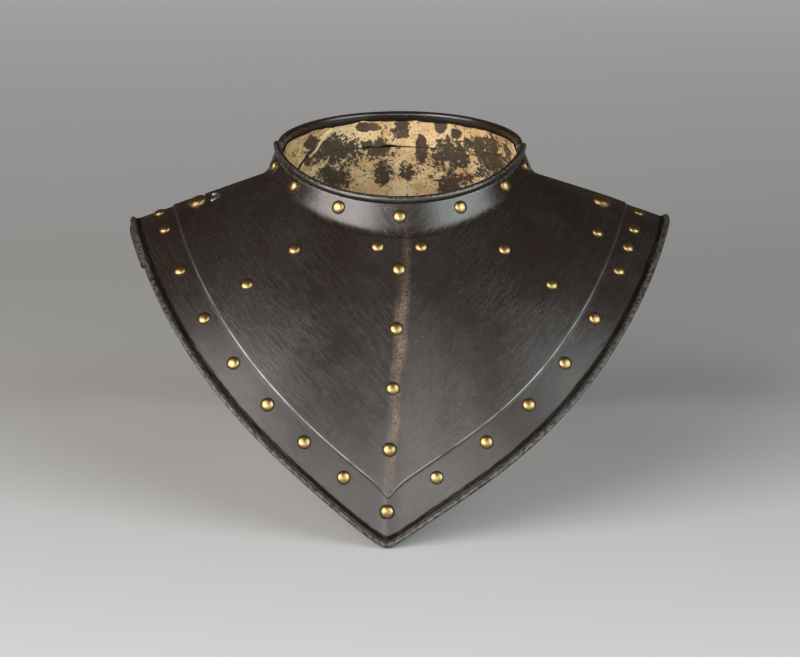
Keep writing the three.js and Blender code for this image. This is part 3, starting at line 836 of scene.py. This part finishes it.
# The linings
# Two pieces of pale thin leather, glued inside the back plate, one in the collar and one below its foot. Age
# has stained them, flaked their face off in patches down to a brown layer, and torn their edges.
LEATHER = 0.0012
LINING_GAP = 0.0006
LINING_INSET = PLATE / 2 + LINING_GAP + LEATHER / 2
LINING_TOP = 0.003
LINING_REACH = 0.75
LINING_START = math.radians(101)
LINING_SEAM = 0.0004
LINING_COLUMNS = 300
FLAKE = 0.00045
CURL = 0.0008
RUMPLES = ((0.00025, 150), (0.00035, 48))  # height, and how close together
SEAM_GAPE = 0.0009
GAPE_MIDDLE = -0.12
GAPE_SPREAD = 0.26
# Places on the linings in millimetres: x from the neck's axis, z from the table, half the width and height
LOST_PATCHES = ((-50, 175, 3.5, 6), (-19, 180, 7.5, 3.2), (0.5, 177, 6, 6.5), (12, 170, 2.8, 6),
                (23, 181, 4, 4), (32, 177, 3.2, 3.2), (-52, 163, 2.2, 3.5))
STAINED = ((-36, 168, 12, 9), (-13, 166, 9, 6), (30, 163, 13, 10), (-9, 151, 5, 10), (-38, 150, 8, 9),
           (5, 152, 6, 5), (31, 147, 9, 7), (50, 167, 11, 12), (13, 164, 4, 7), (44, 172, 9, 5))
# The long tear on the wearer's right, as z and x in millimetres. Its painted shadow ends below the top, in
# metres.
TEAR = ((190, -33.0), (181.6, -36.4), (178, -42.5), (170, -48.0), (162, -54.3), (150, -60.0))
TEAR_NEAR = 9.0
TEAR_TOP = 0.176
TEAR_FADE = 0.008
NO_TEAR = 99.0
PATCH_FADE = 1.6
PATCHES_END = 0.135  # below it the face is lost at random
LOST_START = 0.20
LOST_STEEPNESS = 2.4
LAYERS = ("Lost", "Stained", "Torn")


def ragged(section, seed, size):
    """A torn edge's wander at a section."""
    here = section.foot + Vector((0, 0, seed))
    return size * (noise.noise(here * 60) + 0.6 * noise.noise(here * 190))


def crack(section):
    """The seam between the linings gapes in a torn stretch behind the neck, and is nearly shut elsewhere."""
    if section.front:
        return 0.0
    gape = math.exp(-(((section.sine - GAPE_MIDDLE) / GAPE_SPREAD) ** 4))
    return gape * (SEAM_GAPE + ragged(section, 0.9, 0.0016))


def inside_any(spot, places):
    """From about 1 in the middle of the nearest place down to 0 well outside all."""
    x, z = spot.x * 1000, spot.z * 1000
    nearest = min(math.hypot((x - px) / rx, (z - pz) / rz) for px, pz, rx, rz in places)
    return max(0.0, 1 - nearest / PATCH_FADE)


def lost_face(spot):
    """From 0 where the leather's face is whole to 1 where it has flaked away."""
    fine = noise.noise(spot * 160 + Vector((1, 9, 2))) * 0.16 + noise.noise(spot * 420) * 0.10
    spare = 0.55 * noise.noise(spot * 55 + Vector((3, 1, 7))) if spot.z < PATCHES_END else 0.0
    lost = max(inside_any(spot, LOST_PATCHES), spare) + fine
    return min(1.0, max(0.0, (lost - LOST_START) * LOST_STEEPNESS))


def beside_tear(spot):
    """Distance in millimetres from the long tear, minus towards the side of its painted shadow."""
    z = spot.z * 1000
    for (top, x_top), (low, x_low) in zip(TEAR, TEAR[1:]):
        if low <= z <= top:
            line = mix(x_low, x_top, (z - low) / (top - low))
            return spot.x * 1000 - line + 1.1 * noise.noise(spot * 140)
    return NO_TEAR


def flaked(spot, outwards, off):
    """The leather's face sinks where it is lost, and curls up beside the tear."""
    if off >= 0:
        return spot
    rumple = sum(height * noise.noise(spot * close) for height, close in RUMPLES)
    tear = beside_tear(spot)
    curl = math.exp(-(((tear - 0.7) / 0.8) ** 2)) if tear < TEAR_NEAR else 0.0
    gap = math.exp(-((tear + 1.2) ** 2)) if tear < TEAR_NEAR else 0.0
    return spot + outwards * (FLAKE * lost_face(spot) + rumple - CURL * curl + FLAKE * gap)


def lining_outline(stations):
    return (
        [s.beside(LEATHER / 2) for s in stations]
        + inner([s.beside(-LEATHER / 2) for s in reversed(stations)])
    )


def collar_lining_outline(section):
    lift = -COLLAR_INSET - LINING_INSET
    top = LINING_TOP + ragged(section, 0.3, 0.0011)
    bottom = section.wall.length - FOOT_ROUND - LINING_SEAM - crack(section)
    return lining_outline([section.collar(d, lift) for d in between(top, bottom, 26) + [bottom]])


def body_lining_outline(section):
    last = mix(section.round, section.share_at(-BACK_PROUD), LINING_REACH)
    down = between(section.round, last, 64) + [last]
    return lining_outline(
        [section.bend(u, -COLLAR_INSET - LINING_INSET) for u in between(0, 1, 9)]
        + [section.plate(t, -back_inset(t) - LINING_INSET) for t in down]
    )


LEATHER_CREAM = (0.56, 0.355, 0.155)
LEATHER_PALE = (0.70, 0.53, 0.29)
LEATHER_OCHRE = (0.42, 0.25, 0.10)
LEATHER_OLIVE = (0.026, 0.016, 0.009)
LEATHER_UMBER = (0.055, 0.032, 0.015)
LEATHER_BARE = (0.045, 0.023, 0.013)
LEATHER_BARE_LIGHT = (0.095, 0.050, 0.028)
# The painted shadow in the tear's gap
TEAR_SHADOW = (0.008, 0.005, 0.004)


def old_leather(name):
    """Cream leather, blotched and speckled, brown where its face is lost, with a painted shadow in its tear
    and a painted highlight along its torn edge.
    """
    finish, tree, shader = new_finish(name)
    place = add_node(tree, "TexCoord").outputs["Object"]
    high = split(tree, place)[2]
    lost, stained, torn = (
        add_node(tree, "Attribute", attribute_name=layer).outputs["Fac"] for layer in LAYERS
    )
    cream = ramp(tree, grain(tree, place, 60, 5, 0.6), 0.40, 0.62)
    cream = blend_colour(tree, cream, LEATHER_CREAM, LEATHER_PALE)
    ochre = ramp(tree, grain(tree, place, 130, 6, 0.7), 0.48, 0.64)
    smoked = times(tree, ramp(tree, high, 0.168, 0.182), ramp(tree, grain(tree, place, 80, 5), 0.3, 0.7))
    cream = blend_colour(tree, largest(tree, times(tree, ochre, 0.65), smoked), cream, LEATHER_OCHRE)

    # Blots that break up into specks, crowded in the stained places and scattered elsewhere
    crowded_blots = plus(
        tree,
        grain(tree, place, 115, 6, 0.74, 0.35),
        wander(tree, place, 1.0, 430, 5, 0.8),
        times(tree, minus(tree, stained, 0.12), 0.38),
    )
    # Blots are kept off the torn edge, which stays pale as a painted highlight
    blot = times(tree, ramp(tree, crowded_blots, 0.555, 0.60), ramp(tree, torn, 0.2, 0.6, 1.0, 0.1))
    dark = ramp(tree, grain(tree, place, 420, 4), 0.4, 0.66)
    dark = blend_colour(tree, dark, LEATHER_OLIVE, LEATHER_UMBER)
    colour = blend_colour(tree, times(tree, blot, 0.98), cream, dark)
    dots = ramp(tree, grain(tree, place, 800, 3, 0.6), 0.60, 0.65)
    colour = blend_colour(tree, times(tree, dots, 0.8), colour, LEATHER_OLIVE)

    # The brown layer under the lost face, with ragged edges, and the painted shadow in the tear's gap
    uneven = plus(tree, lost, wander(tree, place, 1.0, 700, 5, 0.75), wander(tree, place, 2.2, 150, 5, 0.7))
    bare = ramp(tree, uneven, 0.45, 0.58)
    brown = ramp(tree, grain(tree, place, 170, 5, 0.7), 0.44, 0.66)
    brown = blend_colour(tree, brown, LEATHER_BARE, LEATHER_BARE_LIGHT)
    colour = blend_colour(tree, bare, colour, brown)
    colour = blend_colour(tree, ramp(tree, torn, -0.35, -0.6), colour, TEAR_SHADOW)
    height = minus(tree, grain(tree, place, 800, 5, 0.75), times(tree, bare, 0.9))
    height = minus(tree, height, times(tree, blot, 0.4))
    bump = add_node(tree, "Bump", {"Strength": 0.7, "Distance": 0.0004, "Height": height})
    set_inputs(tree, shader, {
        "Base Color": colour,
        "Roughness": ramp(tree, bare, 0, 1, 0.72, 0.55),
        "Normal": bump.outputs[0],
    })
    return finish


leather = old_leather("old_leather")
lining_end = 2 * math.pi - LINING_START
lining_angles = between(LINING_START, lining_end, LINING_COLUMNS) + [lining_end]
for node, outline in (("collar_lining", collar_lining_outline), ("body_lining", body_lining_outline)):
    lining = solid_object(node + "_worn", loft(node, lining_angles, outline, flaked), 50)
    layers = lining.data.attributes
    for layer in LAYERS:
        layers.new(layer, "FLOAT", "POINT")
    for i, vertex in enumerate(lining.data.vertices):
        spot = vertex.co - NECK
        tear = beside_tear(spot)
        fades = min(1.0, max(0.0, (TEAR_TOP - spot.z) / TEAR_FADE))
        # A painted highlight along the torn edge, and a painted shadow in its gap that fades out towards the
        # top
        torn_highlight = math.exp(-((tear - 0.8) ** 2))
        torn_shadow = math.exp(-(((tear + 1.1) / 1.1) ** 2))
        layers["Lost"].data[i].value = lost_face(spot)
        layers["Stained"].data[i].value = inside_any(spot, STAINED)
        layers["Torn"].data[i].value = torn_highlight - fades * torn_shadow
    lining.data.materials.append(leather)
    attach(lining, "back")
    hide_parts(node)

# The brass rivets
# Cast brass heads on shanks that are hammered flat inside. Each head is a low dome, a little uneven, dulled
# towards its foot, and a dark fillet rings it on the plate.
HEAD_RADIUS = 0.0034
HEAD_HEIGHT = 0.0026
HEAD_PROUD = 1.06
HEAD_FLAT = 0.86
SHANK_RADIUS = 0.0013
BIG_HEAD_RADIUS = 0.0053
BIG_HEAD_HEIGHT = 0.004
HEAD_STEPS = 28
HEAD_DENT = 0.018
HEAD_LEAN = 0.06
HEAD_FOOT = 0.10
HEAD_WAIST = 0.985
DOME_POWERS = (0.92, 0.86)  # outwards and upwards
# Shares of the head's radius: out from its middle, and up from the plate
FILLET_PROFILE = ((0.9, 0.02), (1.01, 0.10), (1.07, 0.06), (1.13, 0.03), (1.20, -0.02))


def rivet_seat(node, head_height):
    """A packed rivet's foot, direction and depth. Its flat faces look down its shank."""
    mesh = frame["nodes"][node].data
    areas = {}
    for face in mesh.polygons:
        key = tuple(round(c, 2) for c in face.normal)
        areas[key] = areas.get(key, 0.0) + face.area
    flat = Vector(max(areas, key=areas.get)).normalized()
    looking = [face for face in mesh.polygons if face.normal.dot(flat) > 0.999]
    axis = -sum((face.normal * face.area for face in looking), Vector()).normalized()
    spots = {tuple(round(c, 6) for c in v.co) for v in mesh.vertices}
    middle = sum((Vector(s) for s in spots), Vector()) / len(spots)
    crown = max(Vector(s).dot(axis) for s in spots)
    deepest = min(Vector(s).dot(axis) for s in spots)
    foot = middle + axis * (crown - middle.dot(axis) - head_height - SEAT_GAP)
    return foot, axis, foot.dot(axis) - deepest


def spun(bm, verts, closed=False):
    """Spins a wire of vertices once round the upright axis into a closed skin."""
    edges = [bm.edges.new(pair) for pair in zip(verts, verts[1:])]
    if closed:
        edges.append(bm.edges.new((verts[-1], verts[0])))
    bmesh.ops.spin(bm, geom=verts + edges, cent=(0, 0, 0), axis=(0, 0, 1), angle=2 * math.pi,
                   steps=HEAD_STEPS, use_merge=True)
    bmesh.ops.remove_doubles(bm, verts=bm.verts, dist=1e-6)
    bmesh.ops.recalc_face_normals(bm, faces=bm.faces)


def rivet_mesh(radius, height, shank, depth, rng):
    """The head's dome, its thin upright foot and the shank, spun from one profile, standing on z = 0."""
    foot = radius * HEAD_FOOT
    top = height + SEAT_GAP
    profile = []
    for i in range(11):
        a = math.pi / 2 * i / 10
        out = radius * HEAD_WAIST * math.sin(a) ** DOME_POWERS[0]
        profile.append((out, foot + (top - foot) * math.cos(a) ** DOME_POWERS[1]))
    profile[0] = (0.0, top)
    profile += [(radius, foot * 0.6), (radius * HEAD_WAIST, 0.0), (shank, 0.0), (shank, -depth * 0.97),
                (shank * 0.9, -depth), (0.0, -depth)]
    bm = bmesh.new()
    spun(bm, [bm.verts.new((x, 0, z)) for x, z in profile])
    uv = bm.loops.layers.uv.new("Head")
    for face in bm.faces:
        for loop in face.loops:
            loop[uv].uv = (math.hypot(loop.vert.co.x, loop.vert.co.y) / radius, loop.vert.co.z / height)
    lean = Vector((rng.uniform(-1, 1), rng.uniform(-1, 1), 0)) * HEAD_LEAN
    seed = Vector((rng.uniform(0, 50), rng.uniform(0, 50), rng.uniform(0, 50)))
    for vert in bm.verts:
        if vert.co.z > foot * 0.8:
            dent = noise.noise(vert.co * 420 + seed)
            vert.co.z += radius * HEAD_DENT * dent + lean.dot(vert.co) - 0.02 * radius
            vert.co.x += radius * 0.012 * dent
    return bm


def fillet_mesh(radius, rng):
    """The dark fillet round a head: a ring that rises against it and dies out on the plate, of uneven width.
    """
    bm = bmesh.new()
    spun(bm, [bm.verts.new((radius * x, 0, radius * z)) for x, z in FILLET_PROFILE], closed=True)
    seed = Vector((rng.uniform(0, 50), rng.uniform(0, 50), 0))
    for vert in bm.verts:
        outer = Vector((vert.co.x, vert.co.y, 0))
        reach = max(0.0, outer.length / radius - 1.03)
        vert.co += outer * (reach * 0.9 * noise.noise(outer * 300 + seed))
    return bm


BRASS_RUBBED = (0.32, 0.225, 0.10)
BRASS_TARNISHED = (0.13, 0.070, 0.028)
# Colours of the dark ring round each head
RING_DARK = (0.010, 0.008, 0.007)
RING_LIGHT = (0.040, 0.028, 0.020)


def old_brass():
    """Yellow brass, rubbed bright on the crown and brown towards the foot, with specks and a fine bump."""
    finish, tree, shader = new_finish("old_brass")
    place = add_node(tree, "TexCoord").outputs["Object"]
    across = split(tree, add_node(tree, "UVMap", uv_map="Head").outputs["UV"])[0]
    spots = ramp(tree, grain(tree, place, 700, 4, 0.65), 0.44, 0.66)
    rim = ramp(tree, plus(tree, across, times(tree, spots, 0.18)), 0.80, 1.10)
    tarnish = largest(tree, rim, times(tree, spots, 0.28))
    height = grain(tree, place, 1500, 3)
    bump = add_node(tree, "Bump", {"Strength": 0.25, "Distance": 0.0002, "Height": height})
    set_inputs(tree, shader, {
        "Base Color": blend_colour(tree, tarnish, BRASS_RUBBED, BRASS_TARNISHED),
        "Metallic": 1.0,
        "Roughness": ramp(tree, tarnish, 0, 1, 0.31, 0.48),
        "Normal": bump.outputs[0],
    })
    return finish


def dried_dirt():
    """Black-brown and nearly dull."""
    finish, tree, shader = new_finish("dried_dirt")
    place = add_node(tree, "TexCoord").outputs["Object"]
    set_inputs(tree, shader, {
        "Base Color": blend_colour(tree, grain(tree, place, 600, 4), RING_DARK, RING_LIGHT),
        "Roughness": ramp(tree, grain(tree, place, 300), 0, 1, 0.6, 0.9),
    })
    return finish


brass = old_brass()
darkening = dried_dirt()
rng = random.Random(17)
for node in sorted(frame["nodes"]):
    if "rivet" not in node and node != "closing_stud":
        continue
    radius, height, shank = HEAD_RADIUS, HEAD_HEIGHT, SHANK_RADIUS
    if node in ("pivot_rivet", "closing_stud"):
        radius, height, shank = BIG_HEAD_RADIUS, BIG_HEAD_HEIGHT, BIG_SHANK
    foot, axis, depth = rivet_seat(node, height)
    place = Matrix.Translation(foot) @ axis.to_track_quat("Z", "Y").to_matrix().to_4x4()
    head = rivet_mesh(radius * HEAD_PROUD, height * HEAD_FLAT, shank, depth, rng)
    head.transform(place)
    rivet = solid_object(node + "_head", head, 45)
    rivet.data.materials.append(brass)
    body = "back" if node.startswith("back") or node == "closing_stud" else "front"
    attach(rivet, body)
    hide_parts(node)
    skirt = fillet_mesh(radius * HEAD_PROUD, rng)
    skirt.transform(place)
    fillet = solid_object(node + "_dirt", skirt)
    fillet.data.materials.append(darkening)
    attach(fillet, body)

# The table and the studio
# A pale seamless floor, with painted shade just behind the object and painted light far off, where it also
# glows;
# two soft boxes to the left and right of the camera with a low strip between them, and dim warm light from
# all round.
FLOOR_SIZE = 6
PAPER_NEAR = (0.615, 0.625, 0.63)
# Painted shade behind the object, then painted light far off
PAPER_SHADED_BEHIND = (0.415, 0.41, 0.405)
PAPER_LIT_FAR = (0.76, 0.77, 0.78)
PAPER_GLOW = (0.97, 0.98, 1.0, 1.0)
ROOM_COLOUR = (1.0, 0.80, 0.68, 1)
ROOM_STRENGTH = 0.075
AIM = NECK + Vector((0, 0, 0.077))
# Azimuth from the camera's side towards +X and elevation in degrees, distance, width, height, power, colour
BOXES = {
    "left_box": (-44, 22, 2.2, 1.85, 1.8, 70, (1.0, 0.965, 0.94)),
    "right_box": (47, 22, 2.2, 1.65, 1.8, 47, (0.87, 0.99, 1.0)),
    "low_strip": (-15, 13, 1.7, 1.8, 0.55, 12.5, (1.0, 0.99, 0.98)),
}

floor_mesh = bmesh.new()
bmesh.ops.create_grid(floor_mesh, x_segments=4, y_segments=4, size=FLOOR_SIZE)
floor = solid_object("floor", floor_mesh)
paper, tree, shader = new_finish("pale_paper")
behind = split(tree, add_node(tree, "TexCoord").outputs["Object"])[1]
tone = blend_colour(tree, ramp(tree, behind, -0.55, 0.35), PAPER_NEAR, PAPER_SHADED_BEHIND)
set_inputs(tree, shader, {
    "Base Color": blend_colour(tree, ramp(tree, behind, 0.5, 3.2), tone, PAPER_LIT_FAR),
    "Roughness": 0.95,
    "Emission Color": PAPER_GLOW,
    # The far floor glows as painted light
    "Emission Strength": ramp(tree, behind, 0.5, 2.2, 0.0, 0.24),
})
floor.data.materials.append(paper)

room = bpy.data.worlds.new("studio")
bpy.context.scene.world = room
room.use_nodes = True
room.node_tree.nodes["Background"].inputs["Color"].default_value = ROOM_COLOUR
room.node_tree.nodes["Background"].inputs["Strength"].default_value = ROOM_STRENGTH
bpy.context.scene.view_settings.view_transform = "Standard"

for name, (azimuth, elevation, distance, width, height, power, colour) in BOXES.items():
    a, e = math.radians(azimuth), math.radians(elevation)
    away = Vector((math.sin(a) * math.cos(e), -math.cos(a) * math.cos(e), math.sin(e)))
    light = bpy.data.lights.new(name, "AREA")
    light.shape = "RECTANGLE"
    light.size = width
    light.size_y = height
    light.energy = power
    light.color = colour
    lamp = bpy.data.objects.new(name, light)
    facing = away.to_track_quat("Z", "Y").to_matrix().to_4x4()
    lamp.matrix_world = Matrix.Translation(AIM + away * distance) @ facing
    lamp.visible_camera = False
    bpy.context.scene.collection.objects.link(lamp)

# The camera
# As the photograph was taken: straight in front and 15 degrees above level, 1.4 m away, with a long lens
# that fills the frame with the gorget.
VIEW_HEIGHT = math.radians(15)
DISTANCE = 1.4
LENS = 113.4
SENSOR_WIDTH = 36
camera_data = bpy.data.cameras.new("camera")
camera_data.lens = LENS
camera_data.sensor_width = SENSOR_WIDTH
camera = bpy.data.objects.new("camera", camera_data)
camera.location = AIM + Vector((0, -math.cos(VIEW_HEIGHT), math.sin(VIEW_HEIGHT))) * DISTANCE
camera.rotation_euler = (math.pi / 2 - VIEW_HEIGHT, 0, 0)
bpy.context.scene.collection.objects.link(camera)
bpy.context.scene.camera = camera
